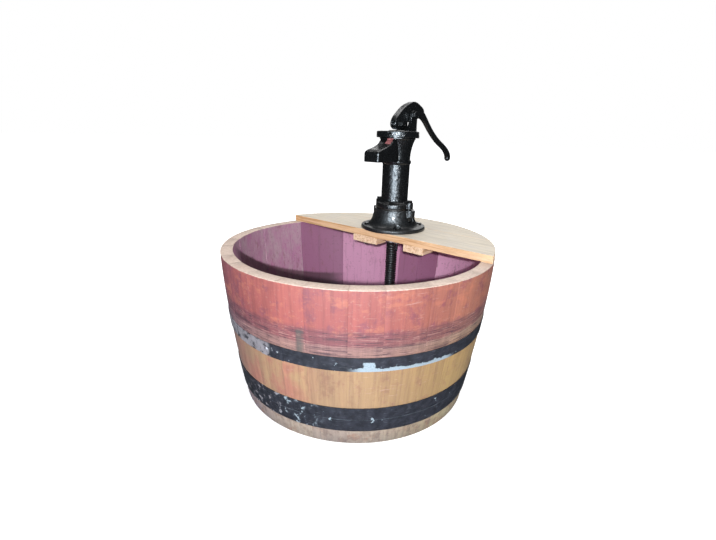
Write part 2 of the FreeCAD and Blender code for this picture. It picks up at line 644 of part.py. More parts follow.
# ---------------------------------------------------------------- hose
def suction_hose():
    """A corrugated hose with a plain cuff at each end."""
    low, high = HOSE_BOTTOM + CUFF_LENGTH, HOSE_TOP - CUFF_LENGTH
    count = int((high - low) / CORRUGATION_PITCH)
    pitch = (high - low) / count
    valley = HOSE_RADIUS - CORRUGATION_DEPTH
    outside = [(HOSE_BORE, HOSE_BOTTOM), (HOSE_RADIUS, HOSE_BOTTOM)]
    for i in range(count):
        foot = low + i * pitch
        outside += [(HOSE_RADIUS, foot), (valley, foot + 0.22 * pitch), (valley, foot + 0.45 * pitch),
                    (HOSE_RADIUS, foot + 0.67 * pitch)]
    outside += [(HOSE_RADIUS, HOSE_TOP), (HOSE_BORE, HOSE_TOP)]
    inside = [(HOSE_BORE, high), (HOSE_NARROW_BORE, high), (HOSE_NARROW_BORE, low), (HOSE_BORE, low)]
    return turned(line(*outside, *inside))


def hose_tail():
    """Threaded into the base from below, with a barb for the hose."""
    root, crest, spacing = 11.3, HOSE_BORE - 0.1, 9.0
    barb = []
    for ridge in range(4):
        foot = -46 + spacing * ridge
        barb += [(root, foot), (crest, foot + 7.5), (root, foot + 7.6)]
    return turned(line((9.5, -46), *barb, (root, 1), (23, 1), (23, 8), (20 - THREAD, 8),
                       (20 - THREAD, 38), (15.5, 38), (9.5, 30)))


def hose_clamp():
    band = ring(HOSE_RADIUS + 1.2, HOSE_RADIUS + 0.1, CLAMP_LOW, CLAMP_HIGH)
    housing = block(-7, 7, HOSE_RADIUS, CLAMP_SCREW.y + 4.5, CLAMP_LOW - 1, CLAMP_HIGH + 1)
    bore = disc(HOSE_RADIUS + 0.1, -60, -20)
    screw_hole = rod_x(2.8, -9, 9, CLAMP_SCREW.y, CLAMP_SCREW.z)
    return cut_all(fused(band, housing), [bore, screw_hole])


def hose_clamp_screw():
    shank = rod_x(2.7, -9, 7.5, CLAMP_SCREW.y, CLAMP_SCREW.z)
    head = along_x(hexagon(7, 0, 4), V(7.5, CLAMP_SCREW.y, CLAMP_SCREW.z))
    return fused(shank, head)


# ---------------------------------------------------------------- fasteners of the pump
def joint_bolts():
    for side in (-1, 1):
        length = UPPER_LUG[3] - LOWER_LUG[2] + JOINT_NUT + 3
        yield bolt(5, 16, 6.4, length).translated(V(side * LUG_BOLT_X, 0, UPPER_LUG[3]))


def joint_nuts():
    for side in (-1, 1):
        low = LOWER_LUG[2] - JOINT_NUT
        yield nut(5, 16, JOINT_NUT).translated(V(side * LUG_BOLT_X, 0, low))


def flange_bolts():
    for place in flange_bolt_places():
        yield bolt(4, 13, 5.3, FLANGE_BOLT_LENGTH).translated(place + V(0, 0, FLANGE_HEIGHT))


def under_lid(place):
    """Height of the wood's underside at a flange bolt: the cleat where there is one."""
    over_cleat = any(abs(place.x - centre) < width / 2 for centre, width in CLEATS.values())
    return -BOARD_THICKNESS * (2 if over_cleat else 1)


def flange_washers():
    for place in flange_bolt_places():
        low = under_lid(place) - FLANGE_WASHER
        yield ring(9, 4.2, low, low + FLANGE_WASHER).translated(place)


def flange_nuts():
    for place in flange_bolt_places():
        low = under_lid(place) - FLANGE_WASHER - FLANGE_NUT
        yield nut(4, 13, FLANGE_NUT).translated(place + V(0, 0, low))


def cross_bolt(radius, across_flats, head_height, nut_height, half_grip, point):
    """A bolt and nut along X through a grip centred on a point; the head is on the +X side."""
    tip = 3.0
    screw = bolt(radius, across_flats, head_height, 2 * half_grip + nut_height + tip)
    threaded = nut(radius, across_flats, nut_height)
    return (along_x(screw, point + V(half_grip, 0, 0)),
            along_x(threaded, point - V(half_grip, 0, 0), flip=True))


# ---------------------------------------------------------------- assembly
def at_pump(shape):
    return shape.translated(AT_PUMP)


def main():
    os.makedirs("parts", exist_ok=True)
    save("barrel_staves", *staves())
    save("barrel_head_boards", *head_boards())
    for name in HOOPS:
        save(name, hoop(name))
    save("hoop_rivets", *hoop_rivets())

    save("lid_board_front", lid_board(LID_FRONT, LID_SEAM - BOARD_GAP / 2))
    save("lid_board_back", lid_board(LID_SEAM + BOARD_GAP / 2, LID_RADIUS + 1))
    for name, (centre, width) in CLEATS.items():
        save(name, cleat(centre, width))
    save("cleat_screws", *[wood_screw().translated(place) for place in cleat_screw_places()])

    pivot_bolt, pivot_nut = cross_bolt(PIVOT_BOLT_RADIUS, 16, 6.4, 8, EAR_OUTER, PIVOT)
    pin_bolt, pin_nut = cross_bolt(ROD_PIN_RADIUS, 13, 5.3, 6.5, HANDLE_HALF, ROD_PIN)
    pump_nodes = {
        "pump_base": [pump_base()],
        "pump_body": [pump_body()],
        "pump_cap": [pump_cap()],
        "cap_set_screws": list(cap_set_screws()),
        "joint_bolts": list(joint_bolts()),
        "joint_nuts": list(joint_nuts()),
        "flange_bolts": list(flange_bolts()),
        "flange_washers": list(flange_washers()),
        "flange_nuts": list(flange_nuts()),
        "valve_gasket": [valve_gasket()],
        "valve_flap": [valve_flap()],
        "flap_weight": [flap_weight()],
        "flap_washer": [ring(12, FLAP_SCREW_RADIUS + RUNNING, BASE_TOP - FLAP_WASHER, BASE_TOP)],
        "flap_screw": [flap_screw()],
        "flap_nut": [nut(FLAP_SCREW_RADIUS, 10, 5).translated(V(0, 0, FLAP_WEIGHT_TOP))],
        "handle": [handle()],
        "handle_pivot_bolt": [pivot_bolt],
        "handle_pivot_nut": [pivot_nut],
        "rod_pin_bolt": [pin_bolt],
        "rod_pin_nut": [pin_nut],
        "piston_rod": [piston_rod()],
        "rod_lock_nut": [nut(ROD_RADIUS, 17, 8).translated(V(0, 0, PLUNGER_BOTTOM + 50))],
        "plunger_cage": [plunger_cage()],
        "plunger_follower": [plunger_follower()],
        "cup_leather": [cup_leather()],
        "plunger_valve": [plunger_valve()],
        "hose_tail": [hose_tail()],
        "suction_hose": [suction_hose()],
        "hose_clamp": [hose_clamp()],
        "hose_clamp_screw": [hose_clamp_screw()],
    }
    for name, shapes in pump_nodes.items():
        save(name, *[at_pump(shape) for shape in shapes])


main()
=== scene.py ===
import math
import random

import bpy
from mathutils import Matrix, Vector


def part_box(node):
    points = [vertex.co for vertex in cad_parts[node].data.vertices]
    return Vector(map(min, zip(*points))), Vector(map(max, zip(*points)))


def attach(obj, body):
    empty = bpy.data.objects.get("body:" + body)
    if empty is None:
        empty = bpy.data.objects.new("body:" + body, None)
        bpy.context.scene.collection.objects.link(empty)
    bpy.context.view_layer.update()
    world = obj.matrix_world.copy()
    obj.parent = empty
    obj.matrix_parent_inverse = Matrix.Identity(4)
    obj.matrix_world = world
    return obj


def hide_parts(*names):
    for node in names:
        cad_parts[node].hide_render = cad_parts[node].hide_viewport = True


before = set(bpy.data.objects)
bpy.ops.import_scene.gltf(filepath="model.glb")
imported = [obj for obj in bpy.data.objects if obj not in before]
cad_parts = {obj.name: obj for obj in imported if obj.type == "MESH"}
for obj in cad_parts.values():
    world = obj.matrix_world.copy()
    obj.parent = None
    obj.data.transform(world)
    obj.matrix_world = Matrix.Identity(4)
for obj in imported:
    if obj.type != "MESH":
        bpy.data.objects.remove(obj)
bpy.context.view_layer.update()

# A hand well pump on a half wine barrel. Metres, +Z up, origin on the ground under the barrel.
# Places come from the CAD frame; this script adds fine meshes, materials, light and a camera.

random.seed(7)

MM = 0.001

# ---- barrel, as in the CAD ----
STAVES_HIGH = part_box("barrel_staves")[1]
RIM_Z = STAVES_HIGH.z
RIM_RADIUS = STAVES_HIGH.x
FOOT_RADIUS = RIM_RADIUS - 42 * MM
BULGE_POWER = 1.54
STAVE_THICKNESS = 29 * MM
STAVE_WIDTHS = (1.00, 0.78, 1.12, 0.90, 1.22, 0.84, 1.05) * 4
CHIME_BEVEL = (9 * MM, 16 * MM)         # inside bevel at the foot: radial, vertical
CROZE = (43.5 * MM, 50.2 * MM, 5 * MM)  # groove for the head: bottom, top, depth
SEAM = 0.02 * MM                        # half of the gap between two staves
ARRIS = 0.6 * MM                        # softened edge of a stave's foot and of the hose
UPPER_HOOP_FROM = 204 * MM              # the upper hoop is above this height,
LOWER_HOOPS_TO = 110 * MM               # and the middle and lower hoops below this one
HOOP_SEAM_Z = 74.1 * MM                 # top of the lower hoop, close under the middle one
SCRAPED = (240 * MM, 296 * MM)          # band above the upper hoop, scraped along the barrel
# (angle where a run of staves ends, how pale the inside is: the wine stain, and in the run under the
# lid, to 75°, also painted light)
STAIN_AND_LIGHT_RUNS = ((75, 0.95), (105, 0.40), (139, 0.80), (167, 0.38), (232, 0.54), (360, 0.60))

# painted shadow inside, darkening the wall where the key light's shadow falls below the near rim: its
# edge's height and fall, where it fades in across and along the light
SHADOW_PAINT_EDGE, SHADOW_PAINT_FALL = (398 * MM, 388 * MM), 0.62
SHADOW_PAINT_ACROSS, SHADOW_PAINT_ALONG = (-20 * MM, 60 * MM), (0.0, 90 * MM)

# ---- lid, pump and hose ----
PUMP_LOW, PUMP_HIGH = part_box("pump_base")
PUMP_Y = (PUMP_LOW.y + PUMP_HIGH.y) / 2
LID_TOP = PUMP_LOW.z
PRIMER_X = (1 * MM, 19 * MM)            # the patch of red primer on the spout's root
PRIMER_Z = (LID_TOP + 234 * MM, LID_TOP + 248 * MM)
PRIMER_FRONT = PUMP_Y - 40 * MM
PRIMER_SOFT = 0.8 * MM
WELD = 0.01 * MM                        # joins the CAD mesh's split vertices
CAST_VOXEL = 0.9 * MM                   # mesh size and rounding of the castings' skins
CAST_ROUNDING = 6
SAND_SIZE, SAND_DEPTH = 12 * MM, 0.5 * MM
HOSE_BORE = 12.5 * MM                   # radius
HOSE_CUFF = 44 * MM                     # plain length at each end
HOSE_PITCH, HOSE_WAVE = 7 * MM, 2.2 * MM

# ---- camera: azimuth from the -Y side towards +X, height, tilt of the horizon ----
CAMERA_AZIMUTH, CAMERA_ELEVATION, CAMERA_ROLL = 40.23, 18.88, 1.57
CAMERA_DISTANCE = 1.098
CAMERA_TARGET = Vector((0, 0, 0.30))
CAMERA_LENS, CAMERA_SENSOR = 20.11, 36.0
CAMERA_SHIFT = (0.0014, 0.0053)
LIGHT_AWAY = (-0.755, 0.656)            # level direction, roughly that of the key light's rays
WORLD_DIFFUSE = (0.29, 0.30, 0.32, 1)   # the room as light, in reflections and as backdrop
WORLD_GLOSSY = (0.035, 0.037, 0.04, 1)
WORLD_SEEN = (1, 1, 1, 1)
FLOOR_HALF = 60.0
FLOOR_FADE = (0.35, 1.6)                # radii between which the seen floor turns white


# ---------------------------------------------------------------- material graph helper
class Graph:
    """A material's node tree, with short calls for the nodes used in this file."""

    def __init__(self, name):
        self.material = bpy.data.materials.new(name)
        self.material.use_nodes = True
        self.nodes = self.material.node_tree.nodes
        self.links = self.material.node_tree.links
        self.bsdf = self.nodes["Principled BSDF"]
        self.position = self.nodes.new("ShaderNodeTexCoord").outputs["Object"]

    def set(self, socket, value):
        if isinstance(value, bpy.types.NodeSocket):
            self.links.new(value, socket)
        elif socket.type == "RGBA" and len(value) == 3:
            socket.default_value = (*value, 1.0)
        else:
            socket.default_value = value

    def math(self, operation, a, b=0.0, clamp=False):
        node = self.nodes.new("ShaderNodeMath")
        node.operation = operation
        node.use_clamp = clamp
        self.set(node.inputs[0], a)
        self.set(node.inputs[1], b)
        return node.outputs[0]

    def split(self, vector):
        node = self.nodes.new("ShaderNodeSeparateXYZ")
        self.set(node.inputs[0], vector)
        return node.outputs

    def join(self, x, y, z):
        node = self.nodes.new("ShaderNodeCombineXYZ")
        for socket, value in zip(node.inputs, (x, y, z)):
            self.set(socket, value)
        return node.outputs[0]

    def scaled(self, vector, x, y, z):
        node = self.nodes.new("ShaderNodeVectorMath")
        node.operation = "MULTIPLY"
        self.set(node.inputs[0], vector)
        node.inputs[1].default_value = (x, y, z)
        return node.outputs[0]

    def noise(self, vector, scale, detail=4.0, roughness=0.55, distortion=0.0):
        node = self.nodes.new("ShaderNodeTexNoise")
        self.set(node.inputs["Vector"], vector)
        node.inputs["Scale"].default_value = scale
        node.inputs["Detail"].default_value = detail
        node.inputs["Roughness"].default_value = roughness
        node.inputs["Distortion"].default_value = distortion
        return node.outputs["Fac"]

    def cells(self, vector, scale):
        node = self.nodes.new("ShaderNodeTexVoronoi")
        self.set(node.inputs["Vector"], vector)
        node.inputs["Scale"].default_value = scale
        return node.outputs["Distance"]

    def step(self, value, low, high):
        """0 below low, 1 above high, smooth between; low may be the larger."""
        node = self.nodes.new("ShaderNodeMapRange")
        node.interpolation_type = "SMOOTHSTEP"
        self.set(node.inputs["Value"], value)
        node.inputs["From Min"].default_value = low
        node.inputs["From Max"].default_value = high
        return node.outputs["Result"]

    def band(self, value, low, high, soft):
        """1 between low and high, with soft edges."""
        rise = self.step(value, low - soft, low + soft)
        fall = self.step(value, high + soft, high - soft)
        return self.math("MULTIPLY", rise, fall)

    def ramp(self, value, stops):
        node = self.nodes.new("ShaderNodeValToRGB")
        elements = node.color_ramp.elements
        while len(elements) < len(stops):
            elements.new(0.5)
        for element, (place, colour) in zip(elements, stops):
            element.position = place
            element.color = (*colour, 1.0)
        self.set(node.inputs[0], value)
        return node.outputs["Color"]

    def mix(self, factor, a, b, blend="MIX"):
        node = self.nodes.new("ShaderNodeMix")
        node.data_type = "RGBA"
        node.blend_type = blend
        self.set(node.inputs[0], factor)
        self.set(node.inputs[6], a)
        self.set(node.inputs[7], b)
        return node.outputs[2]

    def blend_value(self, factor, a, b):
        node = self.nodes.new("ShaderNodeMix")
        self.set(node.inputs[0], factor)
        self.set(node.inputs[2], a)
        self.set(node.inputs[3], b)
        return node.outputs[0]

    def attribute(self, name):
        node = self.nodes.new("ShaderNodeAttribute")
        node.attribute_name = name
        return node.outputs["Fac"]

    def bump(self, height, depth, strength=1.0, below=None):
        node = self.nodes.new("ShaderNodeBump")
        node.inputs["Strength"].default_value = strength
        node.inputs["Distance"].default_value = depth
        self.set(node.inputs["Height"], height)
        if below is not None:
            self.set(node.inputs["Normal"], below)
        return node.outputs[0]

    def finish(self, colour, roughness, normal=None, metallic=0.0, **extra):
        self.set(self.bsdf.inputs["Base Color"], colour)
        self.set(self.bsdf.inputs["Roughness"], roughness)
        self.set(self.bsdf.inputs["Metallic"], metallic)
        if normal is not None:
            self.set(self.bsdf.inputs["Normal"], normal)
        for name, value in extra.items():
            self.set(self.bsdf.inputs[name.replace("_", " ")], value)
        return self.material


def around_barrel(g):
    """Angle in degrees, height, and depth below the staves' outside."""
    x, y, z = g.split(g.position)
    angle = g.math("MULTIPLY", g.math("ARCTAN2", y, x), 180 / math.pi)
    square = g.math("ADD", g.math("MULTIPLY", x, x), g.math("MULTIPLY", y, y))
    radius = g.math("SQRT", square)
    taper = g.math("DIVIDE", g.math("SUBTRACT", RIM_Z, z), RIM_Z, clamp=True)
    inset = g.math("MULTIPLY", g.math("POWER", taper, BULGE_POWER), RIM_RADIUS - FOOT_RADIUS)
    outside = g.math("SUBTRACT", RIM_RADIUS, inset)
    depth = g.math("SUBTRACT", outside, radius)
    return angle, z, depth


# ---------------------------------------------------------------- materials
def stave_material():
    """Oak stained by wine: crimson to salmon above, tan below the upper hoop, mauve inside."""
    g = Graph("wine_oak")
    angle, z, depth = around_barrel(g)
    tone = g.attribute("tone")
    arc = g.math("MULTIPLY", angle, math.radians(1) * RIM_RADIUS)
    surface = g.join(arc, g.math("ADD", depth, g.math("MULTIPLY", tone, 3.0)), z)
    fibres = g.noise(g.scaled(surface, 1, 1, 0.03), 700, 5, 0.65)
    streaks = g.noise(g.scaled(surface, 1, 1, 0.06), 120, 4, 0.6)
    blotches = g.noise(surface, 14, 5, 0.6)
    fine = g.noise(surface, 160, 4, 0.6)
    outer = stave_outside(g, angle, z, surface, blotches)
    bands = g.ramp(streaks, [(0.28, (0.66, 0.60, 0.64)), (0.5, (0.97, 0.95, 0.95)),
                             (0.72, (1.20, 1.18, 1.12))])
    outer = g.mix(0.65, outer, bands, "MULTIPLY")
    outer = g.mix(g.math("MULTIPLY", g.step(fine, 0.56, 0.74), 0.30), outer, (0.42, 0.25, 0.21))
    outer = g.mix(g.math("MULTIPLY", g.step(fibres, 0.46, 0.30), 0.34), outer, (0.12, 0.04, 0.05))
    by_stave = g.ramp(tone, [(0.0, (0.92, 0.90, 0.93)), (0.5, (1.0, 1.0, 1.0)),
                             (1.0, (1.05, 1.06, 1.04))])
    outer = g.mix(1.0, outer, by_stave, "MULTIPLY")

    inner = stave_inside(g, surface, streaks, fine)
    rim = g.mix(g.step(fine, 0.30, 0.70), (0.50, 0.385, 0.31), (0.63, 0.50, 0.425))
    rim = g.mix(g.math("MULTIPLY", g.step(blotches, 0.52, 0.75), 0.35), rim, (0.52, 0.33, 0.27))
    inside = g.step(depth, 12 * MM, 16 * MM)
    colour = g.mix(inside, outer, inner)
    ragged = g.math("MULTIPLY", g.math("SUBTRACT", fine, 0.5), 1.6 * MM)
    on_rim = g.step(g.math("ADD", z, ragged), RIM_Z - 2.4 * MM, RIM_Z - 1.0 * MM)
    colour = g.mix(on_rim, colour, rim)
    colour = g.mix(g.math("MULTIPLY", g.attribute("seam"), 0.10), colour, (0.06, 0.03, 0.03))

    height = g.math("ADD", g.math("MULTIPLY", fibres, 0.7), g.math("MULTIPLY", fine, 0.6))
    normal = g.bump(height, 0.8 * MM, 0.55)
    normal = g.bump(blotches, 4 * MM, 0.35, below=normal)
    return g.finish(colour, g.blend_value(fibres, 0.50, 0.80), normal)


def stave_outside(g, angle, z, surface, blotches):
    """Colour zones of the outside, from the ground up and round the barrel."""
    wobble = g.noise(g.scaled(surface, 1, 1, 0.2), 45, 4)
    level = g.math("ADD", z, g.math("MULTIPLY", g.math("SUBTRACT", wobble, 0.5), 9 * MM))
    outer = g.ramp(g.math("DIVIDE", level, RIM_Z), [
        (0.00, (0.26, 0.225, 0.19)), (0.10, (0.38, 0.31, 0.25)), (0.20, (0.36, 0.232, 0.122)),
        (0.53, (0.36, 0.225, 0.110)), (0.60, (0.28, 0.155, 0.130)), (0.672, (0.255, 0.13, 0.12)),
        (0.69, (0.215, 0.060, 0.068)), (0.755, (0.220, 0.055, 0.065)), (0.785, (0.335, 0.078, 0.068)),
        (1.00, (0.345, 0.085, 0.072))])
    crimson = g.step(angle, -78, -125)
    outer = g.mix(g.math("MULTIPLY", crimson, 0.9), outer, (0.53, 0.42, 0.90), "MULTIPLY")
    brown = g.mix(g.step(z, 225 * MM, 290 * MM), (1.00, 1.02, 0.76), (1.02, 1.50, 1.12))
    outer = g.mix(g.step(angle, -52, -8), outer, g.mix(1.0, outer, brown, "MULTIPLY"))

    scraped = g.band(z, *SCRAPED, 4 * MM)
    scrapes = g.noise(g.scaled(surface, 0.05, 1, 1), 330, 5, 0.65, 0.8)
    pale = g.math("MULTIPLY", g.math("MULTIPLY", g.step(scrapes, 0.56, 0.64), scraped), 0.6)
    outer = g.mix(pale, outer, (0.45, 0.26, 0.23))
    dark = g.math("MULTIPLY", g.math("MULTIPLY", g.step(scrapes, 0.48, 0.40), scraped), 0.8)
    outer = g.mix(dark, outer, (0.06, 0.022, 0.036))
    drip_angle = g.math("ADD", angle, g.math("MULTIPLY", wobble, 3))
    drip = g.band(z, 238 * MM, 292 * MM, 4 * MM)
    drip = g.math("MULTIPLY", g.band(drip_angle, -68.6, -66.2, 0.7), drip)
    outer = g.mix(g.math("MULTIPLY", drip, 0.7), outer, (0.06, 0.066, 0.06))

    spill = g.math("MULTIPLY", g.band(angle, -103, -68, 9), g.band(z, 100 * MM, 207 * MM, 18 * MM))
    spill = g.math("MULTIPLY", spill, g.step(blotches, 0.36, 0.60))
    outer = g.mix(g.math("MULTIPLY", spill, 0.8), outer, (0.36, 0.125, 0.095))
    patches = g.step(g.noise(surface, 28, 5, 0.65), 0.52, 0.68)
    patches = g.math("MULTIPLY", g.step(z, 220 * MM, 190 * MM), patches)
    outer = g.mix(g.math("MULTIPLY", patches, 0.55), outer, (0.27, 0.125, 0.075))
    grime = g.step(g.noise(surface, 60, 6, 0.7), 0.48, 0.62)
    grime = g.math("MULTIPLY", g.step(z, 48 * MM, 34 * MM), grime)
    outer = g.mix(g.math("MULTIPLY", grime, 0.6), outer, (0.19, 0.135, 0.105))
    above = g.step(z, 275 * MM, 305 * MM)
    bruises = g.math("MULTIPLY", above, g.step(g.noise(surface, 24, 5, 0.68), 0.50, 0.66))
    outer = g.mix(g.math("MULTIPLY", bruises, 0.75), outer, (0.215, 0.052, 0.078))
    rubbed = g.noise(g.scaled(surface, 0.5, 1, 1), 38, 5, 0.7)
    orange = g.math("MULTIPLY", above, g.step(rubbed, 0.50, 0.66))
    outer = g.mix(g.math("MULTIPLY", orange, 0.65), outer, (0.48, 0.155, 0.090))
    scratches = g.step(g.noise(g.scaled(surface, 0.08, 1, 1), 300, 4, 0.6), 0.62, 0.70)
    scratches = g.math("MULTIPLY", scratches, g.step(angle, -62, -38))
    return g.mix(g.math("MULTIPLY", scratches, 0.35), outer, (0.60, 0.40, 0.33))


def stave_inside(g, surface, streaks, fine):
    """Mauve inside, deeper or paler by stave, with a grey bloom and a painted shadow low down.

    The painted shadow's edge falls away from the key light, as the edge of the light's real shadow
    does.
    """
    pale_by_stain_and_light = g.attribute("pale_by_stain_and_light")
    # the pale end is wine stain and, in the run under the lid, painted light lifting the wall that
    # the lid shades
    base = g.ramp(pale_by_stain_and_light, [(0.0, (0.19, 0.085, 0.14)), (0.4, (0.315, 0.122, 0.228)),
                           (0.8, (0.56, 0.265, 0.425)), (1.0, (0.82, 0.46, 0.67))])
    bloom = g.noise(g.scaled(surface, 1, 1, 0.5), 34, 9, 0.8)
    bloom = g.math("MULTIPLY", g.step(bloom, 0.36, 0.66), g.band(pale_by_stain_and_light, 0.48, 0.60, 0.02))
    inner = g.mix(g.math("MULTIPLY", bloom, 0.62), base, (0.45, 0.385, 0.385))
    stains = g.noise(g.scaled(surface, 1, 1, 0.45), 42, 6, 0.7)
    inner = g.mix(g.math("MULTIPLY", g.step(stains, 0.54, 0.70), 0.65), inner, (0.22, 0.095, 0.12))
    specks = g.math("MULTIPLY", g.step(fine, 0.42, 0.30), 0.5)
    inner = g.mix(specks, inner, (0.16, 0.07, 0.115))
    inner = g.mix(g.math("MULTIPLY", g.step(streaks, 0.46, 0.28), 0.30), inner, (0.17, 0.075, 0.12))
    x, y, z = g.split(g.position)
    away_x, away_y = LIGHT_AWAY
    along = g.math("ADD", g.math("MULTIPLY", x, away_x), g.math("MULTIPLY", y, away_y))
    across = g.math("ADD", g.math("MULTIPLY", x, -away_y), g.math("MULTIPLY", y, away_x))
    edge = g.math("ADD", z, g.math("MULTIPLY", along, SHADOW_PAINT_FALL))
    edge = g.math("ADD", edge, g.math("MULTIPLY", fine, 6 * MM))
    # painted shadow: the wall darkened below the edge of the key light's shadow, on the side away
    # from the light
    painted_shadow = g.math("MULTIPLY", g.step(edge, *SHADOW_PAINT_EDGE), g.step(across, *SHADOW_PAINT_ACROSS))
    painted_shadow = g.math("MULTIPLY", painted_shadow, g.step(along, *SHADOW_PAINT_ALONG))
    return g.mix(painted_shadow, inner, (0.30, 0.26, 0.26), "MULTIPLY")


def hoop_material():
    """Black paint over zinc, flaked to the grey metal in places."""
    g = Graph("flaked_hoop_paint")
    angle, z = around_barrel(g)[:2]
    arc = g.math("MULTIPLY", angle, math.radians(1) * RIM_RADIUS)
    surface = g.join(arc, 0.0, z)
    coarse = g.noise(surface, 55, 6, 0.65)
    fine = g.noise(surface, 320, 4, 0.6)
    ragged = g.math("MULTIPLY", g.math("SUBTRACT", coarse, 0.5), 26 * MM)
    low_line = g.math("ADD", z, ragged)

    on_upper = g.step(z, UPPER_HOOP_FROM, UPPER_HOOP_FROM + MM)
    under_edge = g.math("MULTIPLY", g.band(angle, -50, -12, 3), on_upper)
    under_edge = g.math("MULTIPLY", under_edge, g.step(low_line, 214.5 * MM, 213.2 * MM))
    patch_angle = g.math("ADD", angle, g.math("MULTIPLY", ragged, 90))
    patch_level = g.math("ADD", z, g.math("MULTIPLY", ragged, 0.3))
    patch_rows = g.band(patch_level, 213 * MM, 229 * MM, 0.8 * MM)
    patch = g.math("MULTIPLY", g.band(patch_angle, -46.8, -42.8, 0.35), patch_rows)
    patch = g.math("MULTIPLY", patch, g.step(fine, 0.30, 0.40))
    mottling = g.math("ADD", coarse, g.math("MULTIPLY", fine, 0.25))
    stripped = g.math("MULTIPLY", g.band(angle, -140, -82, 1.0), on_upper)
    stripped = g.math("MULTIPLY", stripped, g.step(mottling, 0.50, 0.62))
    on_lower = g.step(z, LOWER_HOOPS_TO, LOWER_HOOPS_TO - 2 * MM)
    chip_noise = g.noise(surface, 48, 4, 0.55)
    chip_noise = g.math("ADD", chip_noise, g.math("MULTIPLY", fine, 0.08))
    chips = g.math("MULTIPLY", g.step(chip_noise, 0.70, 0.715), g.band(angle, -112, 20, 6))
    left_chips = g.math("MULTIPLY", on_lower, g.band(angle, -108, -66, 6))
    left_chips = g.math("MULTIPLY", left_chips, g.step(coarse, 0.56, 0.60))
    seam_level = g.math("ADD", z, g.math("MULTIPLY", ragged, 0.15))
    seam_line = g.band(seam_level, HOOP_SEAM_Z - 0.5 * MM, HOOP_SEAM_Z + 0.5 * MM, 0.3 * MM)
    seam_line = g.math("MULTIPLY", seam_line, g.step(g.noise(surface, 16, 3), 0.30, 0.60))
    seam_line = g.math("MULTIPLY", seam_line, 0.3)
    bare = chips
    for mask in (under_edge, patch, stripped, left_chips, seam_line):
        bare = g.math("MAXIMUM", bare, mask)
    zinc = g.mix(fine, (0.22, 0.28, 0.33), (0.46, 0.57, 0.65))
    dull = g.mix(coarse, (0.10, 0.09, 0.11), (0.42, 0.40, 0.44))
    zinc = g.mix(g.step(angle, -76, -84), zinc, dull)
    paint = g.mix(g.step(coarse, 0.35, 0.7), (0.016, 0.018, 0.027), (0.038, 0.042, 0.060))
    rust = g.math("MULTIPLY", g.step(g.noise(surface, 90, 5, 0.7), 0.60, 0.72), 0.3)
    paint = g.mix(rust, paint, (0.10, 0.05, 0.045))
    colour = g.mix(bare, paint, zinc)
    scuffs = g.step(g.noise(g.scaled(surface, 0.12, 1, 1), 420, 3, 0.5), 0.60, 0.70)
    colour = g.mix(g.math("MULTIPLY", scuffs, 0.20), colour, (0.30, 0.33, 0.38))
    height = g.math("SUBTRACT", g.math("MULTIPLY", fine, 0.35), bare)
    normal = g.bump(height, 0.35 * MM, 0.8)
    normal = g.bump(coarse, 3 * MM, 0.35, below=normal)
    roughness = g.blend_value(bare, 0.40, 0.55)
    return g.finish(colour, roughness, normal, g.math("MULTIPLY", bare, 0.25))


def black_iron_material(name="black_cast_paint", red_patch=False, gloss=(0.18, 0.34)):
    """Glossy black paint over a sand casting."""
    g = Graph(name)
    grain = g.noise(g.position, 420, 5, 0.6)
    pits = g.step(g.noise(g.position, 230, 3, 0.6), 0.50, 0.60)
    lumps = g.noise(g.position, 110, 4, 0.55)
    wear = g.step(g.noise(g.position, 60, 6, 0.7), 0.66, 0.72)
    colour = g.mix(lumps, (0.003, 0.0035, 0.004), (0.007, 0.008, 0.009))
    colour = g.mix(g.math("MULTIPLY", wear, 0.08), colour, (0.12, 0.12, 0.115))
    if red_patch:
        colour = with_red_primer(g, colour)
    normal = g.bump(grain, 1.0 * MM, 0.6)
    normal = g.bump(lumps, 2.6 * MM, 0.5, below=normal)
    roughness = g.blend_value(grain, *gloss)
    return g.finish(colour, roughness, normal, Coat_Roughness=0.14,
                    Coat_Weight=g.blend_value(pits, 0.32, 0.05),
                    Specular_IOR_Level=g.blend_value(pits, 0.45, 0.2))


def with_red_primer(g, colour):
    """A small area of red primer showing where the spout's roof climbs to the cup."""
    x, y, z = g.split(g.position)
    wobble = g.math("MULTIPLY", g.math("SUBTRACT", g.noise(g.position, 160, 3), 0.5), 5 * MM)
    across = g.band(g.math("ADD", x, wobble), *PRIMER_X, PRIMER_SOFT)
    upright = g.band(g.math("ADD", z, wobble), *PRIMER_Z, PRIMER_SOFT)
    front = g.step(y, PRIMER_FRONT + 2 * MM, PRIMER_FRONT - 2 * MM)
    mask = g.math("MULTIPLY", g.math("MULTIPLY", across, upright), front)
    return g.mix(mask, colour, (0.34, 0.125, 0.13))


